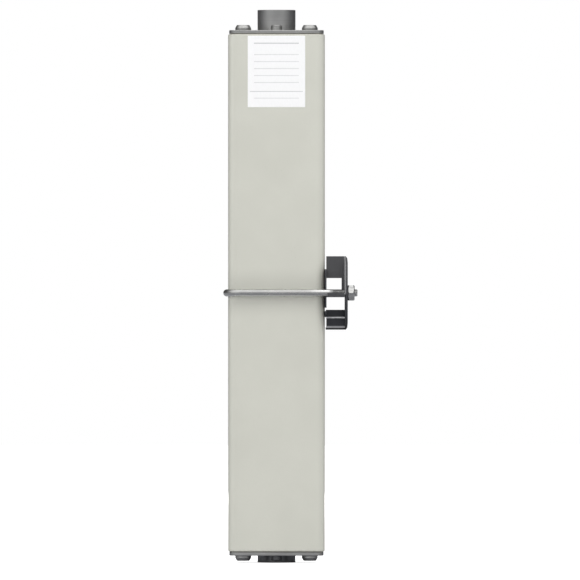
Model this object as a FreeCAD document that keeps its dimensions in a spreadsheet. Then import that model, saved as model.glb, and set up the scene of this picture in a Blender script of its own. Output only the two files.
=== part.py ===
import FreeCAD, Part
import math
import os
import re
import Sketcher
from FreeCAD import Vector

# A square-bodied high-speed fuse for a busbar: a ceramic tube with a metal plate and a round contact
# at each end, silver elements in sand between them, and a trip indicator in the right wall.
# A bent rod clamps a moulded holder for a signal switch against the tube, level with the indicator.
# The origin is the middle of the lower contact's end face. +Z runs up the fuse, the label faces -Y,
# and the indicator and the switch holder face +X. All lengths are in millimetres.

doc = FreeCAD.newDocument("square_body_fuse")
sheet = doc.addObject("Spreadsheet::Sheet", "Dims")

driving_sizes = {
    # ceramic body
    "body_side": 61.0,
    "body_height": 326.0,
    "body_corner_radius": 6.2,
    "body_edge_radius": 0.8,
    "bore_diameter": 48.0,
    # end plates and the gaskets under them
    "gasket_thickness": 0.4,
    "gasket_inset": 0.6,
    "plate_inset": 0.7,
    "plate_thickness": 2.2,
    # cover screws, four at each end
    "screw_edge_distance": 9.5,
    "screw_shank_diameter": 4.9,
    "screw_length": 14.0,
    "screw_end_gap": 1.5,
    "screw_head_diameter": 10.0,
    "screw_head_height": 3.3,
    "screw_head_rim": 1.9,
    "screw_head_top_diameter": 7.4,
    "screw_socket_across_flats": 3.0,
    "screw_socket_depth": 2.0,
    "screw_thread_clearance": 0.05,
    "screw_hole_clearance": 0.25,
    # round contacts with a tapped hole
    "contact_diameter": 24.0,
    "top_contact_height": 13.2,
    "bottom_contact_height": 4.7,
    "contact_clearance": 0.05,
    "contact_flange_diameter": 34.0,
    "contact_flange_thickness": 5.0,
    "contact_edge_chamfer": 0.5,
    "contact_tapping_diameter": 8.5,
    "contact_tapping_depth": 8.0,
    "contact_drill_point": 2.2,
    "contact_mouth_chamfer": 0.8,
    # plug in the sand filling hole of each end plate
    "plug_bore_margin": 5.4,
    "plug_diameter": 7.0,
    "plug_height": 3.2,
    "plug_edge_chamfer": 0.3,
    "plug_stem_diameter": 5.0,
    "plug_clearance": 0.05,
    # blank label on the front face
    "label_width": 36.2,
    "label_height": 45.0,
    "label_thickness": 0.15,
    "label_top_margin": 1.0,
    # fuse elements and the plates that hold their ends
    "element_plate_margin": 2.0,
    "element_plate_thickness": 3.0,
    "element_count": 6,
    "element_pitch": 5.0,
    "element_width": 20.0,
    "element_thickness": 0.3,
    "element_clearance": 0.05,
    "perforation_rows": 14,
    "perforation_columns": 3,
    "perforation_row_pitch": 20.0,
    "perforation_column_pitch": 6.2,
    "perforation_across": 5.2,
    # sand filling
    "sand_clearance": 0.1,
    # trip indicator in the right wall
    "sleeve_diameter": 8.0,
    "sleeve_bore_diameter": 5.6,
    "sleeve_length": 15.0,
    "sleeve_floor": 1.5,
    "sleeve_clearance": 0.05,
    "cap_thickness": 1.0,
    "striker_diameter": 3.6,
    "striker_head_thickness": 1.5,
    "striker_tail_diameter": 2.0,
    "striker_proud": 0.7,
    "striker_travel": 7.9,
    "striker_stop_gap": 0.1,
    "striker_tip_chamfer": 0.5,
    "striker_clearance": 0.05,
    "striker_foot_clearance": 0.3,
    "wire_diameter": 0.6,
    "wire_gap": 3.0,
    "wire_clearance": 0.05,
    "wire_fork_length": 0.9,
    "spring_wire_diameter": 0.6,
    "spring_mean_diameter": 4.2,
    "spring_turns": 3.5,
    "spring_end_gap": 0.05,
    # bent clamp rod and its nuts
    "rod_diameter": 4.5,
    "rod_gap": 0.05,
    "rod_seat_depth": 1.5,
    "rod_seat_clearance": 0.04,
    "rod_proud": 1.8,
    "rod_end_chamfer": 0.4,
    "nut_across_flats": 9.6,
    "nut_thickness": 4.3,
    "nut_clearance": 0.05,
    # moulded switch holder
    "holder_foot_thickness": 1.05,
    "holder_foot_half_height": 15.0,
    "foot_end_slant": 1.1,
    "foot_slot_height": 1.4,
    "foot_slot_slant": 1.4,
    "holder_half_height": 23.15,
    "holder_block_depth": 11.65,
    "holder_plate_thickness": 1.7,
    "holder_lip_thickness": 1.6,
    "holder_end_half_width": 26.0,
    "holder_full_half_height": 17.5,
    "holder_corner_radius": 4.0,
    "holder_edge_chamfer": 0.7,
    "holder_rod_clearance": 0.15,
    "crossbar_thickness": 2.7,
    "rib_thickness": 1.95,
    "top_block_start": 9.4,
    "top_block_half_width": 28.0,
    "top_block_end_half_width": 25.0,
    "low_block_start": 10.7,
    "low_block_half_width": 24.5,
    "ledge_step": 0.7,
    "first_ledge": 15.1,
    "second_ledge": 21.1,
    "low_flange_step": 0.4,
    "core_count": 3,
    "core_width": 13.0,
    "core_wall": 1.5,
    "switch_hole_diameter": 3.2,
    "switch_hole_spacing": 22.2,
    "striker_window_half_width": 6.0,
    "striker_window_margin": 0.6,
}

for row, (alias, value) in enumerate(driving_sizes.items(), start=1):
    sheet.set(f"A{row}", alias)
    sheet.set(f"B{row}", str(value))
    sheet.setAlias(f"B{row}", alias)
doc.recompute()


def on_sheet(formula):
    """A formula on the sheet's sizes, with each size's name pointed at its cell."""
    return re.sub(r"\b([a-z][a-z_]+)\b(?!\()", r"Dims.\1", formula)


def size(alias):
    """A driving size as a number, where a loop or a choice of edges needs one."""
    return sheet.get(alias)


# Heights along the fuse, as formulas on the sheet.
body_bottom = "(bottom_contact_height + plate_thickness + gasket_thickness)"
body_top = f"({body_bottom} + body_height)"
rod_height = f"({body_bottom} + body_height / 2)"
striker_height = f"({rod_height} - (crossbar_thickness + low_block_start) / 2)"

# Places outwards from the fuse's axis.
body_face = "(body_side / 2)"
plate_side = "(body_side - 2 * plate_inset)"
plate_corner_radius = "(body_corner_radius - plate_inset)"
screw_line = f"({body_face} - screw_edge_distance)"
plug_line = "(bore_diameter / 2 - plug_bore_margin)"
wire_line = "(element_width / 2 + wire_gap)"
holder_back = f"({body_face} + holder_foot_thickness)"
holder_plate_back = f"({holder_back} + holder_block_depth)"
holder_face = f"({holder_plate_back} + holder_plate_thickness)"
rod_end = f"({holder_face} + nut_thickness + rod_proud)"
rod_line = f"({body_face} + rod_gap + rod_diameter / 2)"
rod_side = f"({rod_line} - rod_seat_depth)"
sleeve_back = f"({body_face} - sleeve_length)"
sleeve_seat = f"({sleeve_back} + sleeve_floor)"
cap_back = f"({body_face} - cap_thickness)"
head_front = f"({cap_back} - striker_stop_gap - striker_travel)"
head_back = f"({head_front} - striker_head_thickness)"
fork_floor = f"({wire_line} + wire_diameter / 2 + wire_clearance)"
holder_half_width = f"({rod_line} + rod_diameter / 2 + holder_rod_clearance + holder_lip_thickness)"


def out_from(end, distance):
    """The height that lies this far beyond the body's end face, or inside it if negative."""
    if end == "top":
        return f"({body_top} + ({distance}))"
    return f"({body_bottom} - ({distance}))"


# Sketch and feature helpers.

def new_body(name):
    body = doc.addObject("PartDesign::Body", name)
    body.Label = name
    body.AllowCompound = True
    return body


def origin_item(body, role):
    return next(item for item in body.Origin.OriginFeatures if item.Role == role)


def new_sketch(body, name, plane, lift="0", across="0", up="0"):
    """A sketch on one of the body's own planes, lifted off it and shifted within it."""
    sketch = body.newObject("Sketcher::SketchObject", f"{body.Name}_{name}")
    sketch.AttachmentSupport = [(origin_item(body, plane), "")]
    sketch.MapMode = "FlatFace"
    for letter, formula in (("x", across), ("y", up), ("z", lift)):
        sketch.setExpression(f".AttachmentOffset.Base.{letter}", on_sheet(formula))
    return sketch


def place_point(sketch, geometry, position, x, y):
    """Holds a point of the sketch at the place that two formulas give."""
    rough = sketch.getPoint(geometry, position)
    for kind, start, formula in (("DistanceX", rough.x, x), ("DistanceY", rough.y, y)):
        index = sketch.addConstraint(Sketcher.Constraint(kind, geometry, position, start))
        sketch.setExpression(f"Constraints[{index}]", on_sheet(formula))


def outline(sketch, corners):
    """A closed outline of straight lines through the corners, each placed by two formulas."""
    count = len(corners)
    first = sketch.GeometryCount
    start_radius = 50.0
    turns = [2 * math.pi * i / count for i in range(count)]
    rough = [Vector(start_radius * math.cos(turn), start_radius * math.sin(turn), 0) for turn in turns]
    for i in range(count):
        sketch.addGeometry(Part.LineSegment(rough[i], rough[(i + 1) % count]))
    for i in range(count):
        following = first + (i + 1) % count
        sketch.addConstraint(Sketcher.Constraint("Coincident", first + i, 2, following, 1))
    for i, (x, y) in enumerate(corners):
        place_point(sketch, first + i, 1, x, y)


def rectangle(sketch, x_low, x_high, y_low, y_high):
    outline(sketch, [(x_low, y_low), (x_high, y_low), (x_high, y_high), (x_low, y_high)])


def circle(sketch, diameter, x="0", y="0"):
    index = sketch.addGeometry(Part.Circle(Vector(0, 0, 0), Vector(0, 0, 1), 1.0))
    place_point(sketch, index, 3, x, y)
    bound = sketch.addConstraint(Sketcher.Constraint("Diameter", index, 2.0))
    sketch.setExpression(f"Constraints[{bound}]", on_sheet(diameter))


def hexagon(sketch, across_flats, x, y):
    """A hexagon with two sides level."""
    half_flat = f"{across_flats} / 2"
    corner = f"{across_flats} / sqrt(3)"
    outline(sketch, [
        (f"{x} + {corner}", y),
        (f"{x} + {corner} / 2", f"{y} + {half_flat}"),
        (f"{x} - {corner} / 2", f"{y} + {half_flat}"),
        (f"{x} - {corner}", y),
        (f"{x} - {corner} / 2", f"{y} - {half_flat}"),
        (f"{x} + {corner} / 2", f"{y} - {half_flat}"),
    ])


def finish_feature(body, feature):
    body.Tip = feature
    doc.recompute()
    return feature


def pad(body, sketch, length, backwards=False, both_ways=False):
    feature = body.newObject("PartDesign::Pad", f"{sketch.Name}_pad")
    feature.Profile = sketch
    feature.setExpression("Length", on_sheet(length))
    feature.Reversed = backwards
    feature.Midplane = both_ways
    return finish_feature(body, feature)


def pocket(body, sketch, length, backwards=False, both_ways=False):
    """A pocket that has to take material away."""
    before = body.Shape.Volume
    feature = body.newObject("PartDesign::Pocket", f"{sketch.Name}_pocket")
    feature.Profile = sketch
    feature.setExpression("Length", on_sheet(length))
    feature.Reversed = backwards
    feature.Midplane = both_ways
    finish_feature(body, feature)
    if body.Shape.Volume >= before:
        raise RuntimeError(f"{feature.Name} removes nothing")
    return feature


def revolve(body, sketch, axis="V_Axis"):
    feature = body.newObject("PartDesign::Revolution", f"{sketch.Name}_turn")
    feature.Profile = sketch
    feature.ReferenceAxis = (sketch, [axis])
    feature.Angle = 360
    return finish_feature(body, feature)


def groove(body, sketch, axis):
    """A groove turned all round an axis of its sketch, which has to take material away."""
    before = body.Shape.Volume
    feature = body.newObject("PartDesign::Groove", f"{sketch.Name}_groove")
    feature.Profile = sketch
    feature.ReferenceAxis = (sketch, [axis])
    feature.Angle = 360
    finish_feature(body, feature)
    if body.Shape.Volume >= before:
        raise RuntimeError(f"{feature.Name} removes nothing")
    return feature


def dress(body, kind, name, bound_size, formula, wanted):
    """A fillet or chamfer on each edge of the body so far that wanted() picks."""
    base = body.Tip
    names = [f"Edge{i}" for i, edge in enumerate(base.Shape.Edges, start=1) if wanted(edge)]
    feature = body.newObject(kind, f"{body.Name}_{name}")
    feature.Base = (base, names)
    feature.setExpression(bound_size, on_sheet(formula))
    return finish_feature(body, feature)


def runs_along(edge, direction):
    ends = edge.Vertexes
    if len(ends) != 2 or not isinstance(edge.Curve, Part.Line):
        return False
    return abs((ends[1].Point - ends[0].Point).normalize().dot(direction)) > 0.999


def four_corners(offset):
    return [(f"{a}{offset}", f"{b}{offset}") for a in ("", "-") for b in ("", "-")]


def is_outer_upright(reach):
    """Picks the edges along Z whose distance from the middle planes is the full reach both ways."""
    def wanted(edge):
        middle = edge.CenterOfMass
        far = min(abs(middle.x), abs(middle.y)) > reach - 0.01
        return runs_along(edge, Vector(0, 0, 1)) and far
    return wanted


# Ceramic body: a square tube with a round bore, tapped corners, a side hole for the indicator and,
# across the left wall, a groove that seats the clamp rod.

def make_ceramic_body():
    body = new_body("ceramic_body")
    section = new_sketch(body, "section", "XY_Plane", lift=body_bottom)
    rectangle(section, f"-{body_face}", body_face, f"-{body_face}", body_face)
    circle(section, "bore_diameter")
    pad(body, section, "body_height")
    half = size("body_side") / 2
    dress(body, "PartDesign::Fillet", "corners", "Radius", "body_corner_radius", is_outer_upright(half))

    def is_end_rim(edge):
        box = edge.BoundBox
        reach = max(abs(box.XMin), abs(box.XMax), abs(box.YMin), abs(box.YMax))
        return box.ZLength < 0.01 and reach > size("bore_diameter") / 2 + 0.01

    dress(body, "PartDesign::Fillet", "end_rims", "Radius", "body_edge_radius", is_end_rim)
    for end in ("bottom", "top"):
        holes = new_sketch(body, f"{end}_screw_holes", "XY_Plane", lift=out_from(end, "0"))
        for x, y in four_corners(screw_line):
            circle(holes, "screw_shank_diameter + 2 * screw_thread_clearance", x, y)
        depth = "screw_length - plate_thickness - gasket_thickness + screw_end_gap"
        pocket(body, holes, depth, backwards=end == "bottom")
    side_hole = new_sketch(body, "indicator_hole", "YZ_Plane", lift=body_face)
    circle(side_hole, "sleeve_diameter + 2 * sleeve_clearance", "0", striker_height)
    pocket(body, side_hole, body_face)
    before = body.Shape.Volume
    sweep_clamp(body, "PartDesign::SubtractivePipe", "rod_seat", "rod_diameter + 2 * rod_seat_clearance")
    if body.Shape.Volume >= before:
        raise RuntimeError("the clamp's groove removes nothing")


# End plates, their gaskets, screws and filling plugs.

def square_sheet_with_holes(body, end, side, inner_hole, start, thickness, corner_radius):
    """A thin square with rounded corners, screw holes, a middle hole and a filling hole."""
    section = new_sketch(body, "section", "XY_Plane", lift=out_from(end, start))
    half = f"({side}) / 2"
    rectangle(section, f"-{half}", half, f"-{half}", half)
    circle(section, inner_hole)
    for x, y in four_corners(screw_line):
        circle(section, "screw_shank_diameter + 2 * screw_hole_clearance", x, y)
    if inner_hole != "bore_diameter":
        circle(section, "plug_stem_diameter + 2 * plug_clearance", "0", f"-{plug_line}")
    pad(body, section, thickness, backwards=end == "bottom")
    reach = section.Shape.BoundBox.XMax
    dress(body, "PartDesign::Fillet", "corners", "Radius", corner_radius, is_outer_upright(reach))


def make_gasket(end):
    body = new_body(f"{end}_gasket")
    side = f"{plate_side} - 2 * gasket_inset"
    corner_radius = f"{plate_corner_radius} - gasket_inset"
    square_sheet_with_holes(body, end, side, "bore_diameter", "0", "gasket_thickness", corner_radius)


def make_end_plate(end):
    body = new_body(f"{end}_end_plate")
    post_hole = "contact_diameter + 2 * contact_clearance"
    square_sheet_with_holes(
        body, end, plate_side, post_hole, "gasket_thickness", "plate_thickness", plate_corner_radius
    )


def make_cover_screws(end):
    """Four socket-head screws in one node, the first turned and the rest patterned round the axis."""
    body = new_body(f"{end}_cover_screws")
    profile = new_sketch(body, "profile", "XZ_Plane", lift=screw_line, across=screw_line)
    seat = "gasket_thickness + plate_thickness"
    outline(profile, [
        ("0", out_from(end, f"{seat} - screw_length")),
        ("screw_shank_diameter / 2", out_from(end, f"{seat} - screw_length")),
        ("screw_shank_diameter / 2", out_from(end, seat)),
        ("screw_head_diameter / 2", out_from(end, seat)),
        ("screw_head_diameter / 2", out_from(end, f"{seat} + screw_head_rim")),
        ("screw_head_top_diameter / 2", out_from(end, f"{seat} + screw_head_height")),
        ("0", out_from(end, f"{seat} + screw_head_height")),
    ])
    first = revolve(body, profile)
    socket = new_sketch(body, "socket", "XY_Plane", lift=out_from(end, f"{seat} + screw_head_height"))
    hexagon(socket, "screw_socket_across_flats", screw_line, f"-{screw_line}")
    recess = pocket(body, socket, "screw_socket_depth", backwards=end == "bottom")
    ring = body.newObject("PartDesign::PolarPattern", f"{body.Name}_ring")
    ring.Originals = [first, recess]
    ring.Axis = (origin_item(body, "Z_Axis"), [""])
    ring.Angle = 360
    ring.Occurrences = 4
    finish_feature(body, ring)


def make_fill_plug(end):
    body = new_body(f"{end}_fill_plug")
    profile = new_sketch(body, "profile", "XZ_Plane", lift=plug_line)
    seat = "gasket_thickness + plate_thickness"
    outline(profile, [
        ("0", out_from(end, "gasket_thickness")),
        ("plug_stem_diameter / 2", out_from(end, "gasket_thickness")),
        ("plug_stem_diameter / 2", out_from(end, seat)),
        ("plug_diameter / 2", out_from(end, seat)),
        ("plug_diameter / 2", out_from(end, f"{seat} + plug_height - plug_edge_chamfer")),
        ("plug_diameter / 2 - plug_edge_chamfer", out_from(end, f"{seat} + plug_height")),
        ("0", out_from(end, f"{seat} + plug_height")),
    ])
    revolve(body, profile)


def make_contact(end):
    """A round post through the end plate, with a flange behind the plate and a tapped hole."""
    body = new_body(f"{end}_contact")
    profile = new_sketch(body, "profile", "XZ_Plane")
    post_end = f"gasket_thickness + plate_thickness + {end}_contact_height"
    inner = "gasket_thickness - contact_flange_thickness"
    tapping_floor = f"{post_end} - contact_tapping_depth"
    outline(profile, [
        ("0", out_from(end, inner)),
        ("contact_flange_diameter / 2", out_from(end, inner)),
        ("contact_flange_diameter / 2", out_from(end, "gasket_thickness")),
        ("contact_diameter / 2", out_from(end, "gasket_thickness")),
        ("contact_diameter / 2", out_from(end, f"{post_end} - contact_edge_chamfer")),
        ("contact_diameter / 2 - contact_edge_chamfer", out_from(end, post_end)),
        ("contact_tapping_diameter / 2 + contact_mouth_chamfer", out_from(end, post_end)),
        ("contact_tapping_diameter / 2", out_from(end, f"{post_end} - contact_mouth_chamfer")),
        ("contact_tapping_diameter / 2", out_from(end, tapping_floor)),
        ("0", out_from(end, f"{tapping_floor} - contact_drill_point")),
    ])
    revolve(body, profile)


# Inner pack: perforated silver strips between two plates, in sand.

element_count = int(size("element_count"))
element_places = [f"({i} - (element_count - 1) / 2) * element_pitch" for i in range(element_count)]
plate_outer = "gasket_thickness - contact_flange_thickness"
plate_inner = f"{plate_outer} - element_plate_thickness"
strip_bottom = out_from("bottom", plate_outer)
strip_top = out_from("top", plate_outer)


def element_slots(section):
    """Slots for the strips and a hole for the indicator's wire."""
    half_width = "(element_width / 2 + element_clearance)"
    half_thickness = "(element_thickness / 2 + element_clearance)"
    for place in element_places:
        low = f"{place} - {half_thickness}"
        high = f"{place} + {half_thickness}"
        rectangle(section, f"-{half_width}", half_width, low, high)
    circle(section, "wire_diameter + 2 * wire_clearance", wire_line, "0")


def make_element_plate(end):
    body = new_body(f"{end}_element_plate")
    section = new_sketch(body, "section", "XY_Plane", lift=out_from(end, plate_outer))
    circle(section, "bore_diameter - 2 * element_plate_margin")
    element_slots(section)
    pad(body, section, "element_plate_thickness", backwards=end == "top")
    filling = new_sketch(body, "filling_hole", "XY_Plane", lift=out_from(end, plate_outer))
    circle(filling, "plug_stem_diameter", "0", f"-{plug_line}")
    pocket(body, filling, "element_plate_thickness", backwards=end == "bottom")


def make_fuse_element(number, place):
    """A silver strip with rows of perforations that leave narrow necks."""
    body = new_body(f"fuse_element_{number}")
    strip = new_sketch(body, "strip", "XZ_Plane", lift=f"-({place})")
    rectangle(strip, "-element_width / 2", "element_width / 2", strip_bottom, strip_top)
    pad(body, strip, "element_thickness", both_ways=True)
    row = new_sketch(body, "row", "XZ_Plane", lift=f"-({place})")
    first_row = f"({rod_height} - (perforation_rows - 1) / 2 * perforation_row_pitch)"
    reach = "perforation_across / 2"
    for column in range(int(size("perforation_columns"))):
        middle = f"({column} - (perforation_columns - 1) / 2) * perforation_column_pitch"
        outline(row, [
            (f"{middle} - {reach}", first_row),
            (middle, f"{first_row} - {reach}"),
            (f"{middle} + {reach}", first_row),
            (middle, f"{first_row} + {reach}"),
        ])
    cut = pocket(body, row, "2 * element_thickness", both_ways=True)
    rows = body.newObject("PartDesign::LinearPattern", f"{body.Name}_rows")
    rows.Originals = [cut]
    rows.Direction = (origin_item(body, "Z_Axis"), [""])
    rows.setExpression("Length", on_sheet("(perforation_rows - 1) * perforation_row_pitch"))
    rows.setExpression("Occurrences", on_sheet("perforation_rows"))
    finish_feature(body, rows)


def make_sand_fill():
    """The sand as one cylinder, hollowed for the strips, the wire and the indicator."""
    body = new_body("sand_fill")
    section = new_sketch(body, "section", "XY_Plane", lift=out_from("bottom", plate_inner))
    circle(section, "bore_diameter - 2 * sand_clearance")
    element_slots(section)
    pad(body, section, f"{out_from('top', plate_inner)} - {out_from('bottom', plate_inner)}")
    sleeve_room = new_sketch(body, "sleeve_room", "YZ_Plane", lift=body_face)
    circle(sleeve_room, "sleeve_diameter + 2 * sand_clearance", "0", striker_height)
    pocket(body, sleeve_room, "sleeve_length + sand_clearance")
    tail_room = new_sketch(body, "tail_room", "YZ_Plane", lift=body_face)
    circle(tail_room, "striker_tail_diameter + 4 * sand_clearance", "0", striker_height)
    pocket(body, tail_room, f"{body_face} - {fork_floor} + wire_fork_length + wire_diameter")


# Trip indicator: a spring drives the striker out when the restraining wire melts.

def indicator_sketch(body, name):
    """A sketch whose horizontal axis is the striker's axis."""
    return new_sketch(body, name, "XZ_Plane", up=striker_height)


def make_indicator_sleeve():
    body = new_body("indicator_sleeve")
    profile = indicator_sketch(body, "profile")
    tail_hole = "(striker_tail_diameter / 2 + striker_clearance)"
    outline(profile, [
        (sleeve_back, tail_hole),
        (body_face, tail_hole),
        (body_face, "sleeve_diameter / 2"),
        (sleeve_back, "sleeve_diameter / 2"),
    ])
    revolve(body, profile, "H_Axis")
    room = indicator_sketch(body, "room")
    outline(room, [
        (sleeve_seat, "0"),
        (body_face, "0"),
        (body_face, "sleeve_bore_diameter / 2"),
        (sleeve_seat, "sleeve_bore_diameter / 2"),
    ])
    groove(body, room, "H_Axis")


def make_indicator_cap():
    """A ring in the sleeve's mouth that stops the striker's head."""
    body = new_body("indicator_cap")
    profile = indicator_sketch(body, "profile")
    rectangle(
        profile, cap_back, body_face,
        "striker_diameter / 2 + striker_clearance", "sleeve_bore_diameter / 2 - sleeve_clearance",
    )
    revolve(body, profile, "H_Axis")


def make_striker_pin():
    body = new_body("striker_pin")
    profile = indicator_sketch(body, "profile")
    tail_end = f"{fork_floor} - wire_fork_length"
    tip = f"{body_face} + striker_proud"
    outline(profile, [
        (tail_end, "0"),
        (tip, "0"),
        (tip, "striker_diameter / 2 - striker_tip_chamfer"),
        (f"{tip} - striker_tip_chamfer", "striker_diameter / 2"),
        (head_front, "striker_diameter / 2"),
        (head_front, "sleeve_bore_diameter / 2 - striker_clearance"),
        (head_back, "sleeve_bore_diameter / 2 - striker_clearance"),
        (head_back, "striker_tail_diameter / 2"),
        (tail_end, "striker_tail_diameter / 2"),
    ])
    revolve(body, profile, "H_Axis")
    fork = new_sketch(body, "fork", "XY_Plane", lift=striker_height)
    half_slot = "(wire_diameter / 2 + wire_clearance)"
    rectangle(fork, f"{tail_end} - wire_diameter", fork_floor, f"-{half_slot}", half_slot)
    pocket(body, fork, "2 * striker_tail_diameter", both_ways=True)


def make_striker_spring():
    body = new_body("striker_spring")
    section = indicator_sketch(body, "section")
    start = f"{sleeve_seat} + spring_end_gap + spring_wire_diameter / 2"
    circle(section, "spring_wire_diameter", start, "spring_mean_diameter / 2")
    coil = body.newObject("PartDesign::AdditiveHelix", f"{body.Name}_coil")
    coil.Profile = section
    coil.ReferenceAxis = (section, ["H_Axis"])
    coil.Mode = "height-turns-angle"
    rise = f"{head_back} - {sleeve_seat} - 2 * spring_end_gap - spring_wire_diameter"
    coil.setExpression("Height", on_sheet(rise))
    coil.setExpression("Turns", on_sheet("spring_turns"))
    finish_feature(body, coil)


def make_restraining_wire():
    body = new_body("restraining_wire")
    section = new_sketch(body, "section", "XY_Plane", lift=strip_bottom)
    circle(section, "wire_diameter", wire_line, "0")
    pad(body, section, f"{strip_top} - {strip_bottom}")


# Clamp: a rod bent round the body's left side, with a nut on each threaded leg.

def join_arc(path, arc, line_before, line_after):
    """Ties an arc's ends to the end of one line and the start of the next."""
    gaps = [path.getPoint(arc, end).distanceToPoint(path.getPoint(line_before, 2)) for end in (1, 2)]
    first, last = (1, 2) if gaps[0] < gaps[1] else (2, 1)
    path.addConstraint(Sketcher.Constraint("Coincident", arc, first, line_before, 2))
    path.addConstraint(Sketcher.Constraint("Coincident", arc, last, line_after, 1))


def clamp_path(body):
    """The clamp's middle line: a leg, a bend, the side that lies in the groove, a bend and a leg."""
    path = new_sketch(body, "path", "XY_Plane", lift=rod_height)
    bend_across = f"({rod_line} - {rod_side} + body_corner_radius - {body_face})"
    bend_out = f"({body_face} - body_corner_radius)"
    rough_points = [(50, -30), (-20, -30), (-30, -20), (-30, 20), (-20, 30), (50, 30)]
    points = [Vector(x, y, 0) for x, y in rough_points]
    front_leg = path.addGeometry(Part.LineSegment(points[0], points[1]))
    side = path.addGeometry(Part.LineSegment(points[2], points[3]))
    rear_leg = path.addGeometry(Part.LineSegment(points[4], points[5]))
    rough_bends = [Vector(-27, -27, 0), Vector(-27, 27, 0)]
    front_bend = path.addGeometry(Part.Arc(points[1], rough_bends[0], points[2]))
    rear_bend = path.addGeometry(Part.Arc(points[3], rough_bends[1], points[4]))
    join_arc(path, front_bend, front_leg, side)
    join_arc(path, rear_bend, side, rear_leg)
    place_point(path, front_leg, 1, rod_end, f"-{rod_line}")
    place_point(path, front_leg, 2, bend_across, f"-{rod_line}")
    place_point(path, side, 1, f"-{rod_side}", f"-{bend_out}")
    place_point(path, side, 2, f"-{rod_side}", bend_out)
    place_point(path, rear_leg, 1, bend_across, rod_line)
    place_point(path, rear_leg, 2, rod_end, rod_line)
    for arc in (front_bend, rear_bend):
        rough = path.getPoint(arc, 3).x
        index = path.addConstraint(Sketcher.Constraint("DistanceX", arc, 3, rough))
        path.setExpression(f"Constraints[{index}]", on_sheet(bend_across))
    return path


def sweep_clamp(body, kind, name, diameter):
    """A round section swept along the clamp's middle line, added to the body or cut out of it."""
    path = clamp_path(body)
    section = new_sketch(body, f"{name}_section", "YZ_Plane", lift=rod_end)
    circle(section, diameter, f"-{rod_line}", rod_height)
    sweep = body.newObject(kind, f"{body.Name}_{name}")
    sweep.Profile = section
    sweep.Spine = path
    return finish_feature(body, sweep)


def make_hoop_rod():
    body = new_body("hoop_rod")
    sweep_clamp(body, "PartDesign::AdditivePipe", "sweep", "rod_diameter")

    def is_rod_end(edge):
        return isinstance(edge.Curve, Part.Circle) and edge.BoundBox.XLength < 0.01 \
            and edge.BoundBox.XMax > size("body_side") / 2

    dress(body, "PartDesign::Chamfer", "ends", "Size", "rod_end_chamfer", is_rod_end)


def make_clamp_nut(name, side_sign):
    """A hexagon nut with two flats level and its outer corners turned off."""
    body = new_body(name)
    section = new_sketch(body, "section", "YZ_Plane", lift=holder_face)
    centre = f"({side_sign}{rod_line})"
    hexagon(section, "nut_across_flats", centre, rod_height)
    circle(section, "rod_diameter + 2 * nut_clearance", centre, rod_height)
    pad(body, section, "nut_thickness")
    turned = new_sketch(body, "turned", "XZ_Plane", lift=f"-{centre}", up=rod_height)
    nut_face = f"({holder_face} + nut_thickness)"
    half_flat = "nut_across_flats / 2"
    past_corner = "nut_across_flats"
    outline(turned, [
        (nut_face, half_flat),
        (nut_face, past_corner),
        (f"{nut_face} - ({past_corner} - {half_flat}) / sqrt(3)", past_corner),
    ])
    groove(body, turned, "H_Axis")


# Switch holder: one moulding with a foot on the body, two blocks, a crossbar and an outer plate.

def mirrored_outline(sketch, half_corners):
    """An outline that is the same on both sides of the sketch's upright axis."""
    mirrored = [(f"-({across})", up) for across, up in reversed(half_corners)]
    outline(sketch, half_corners + mirrored)


def above_rod(distance):
    return f"({rod_height} + ({distance}))"


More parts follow.
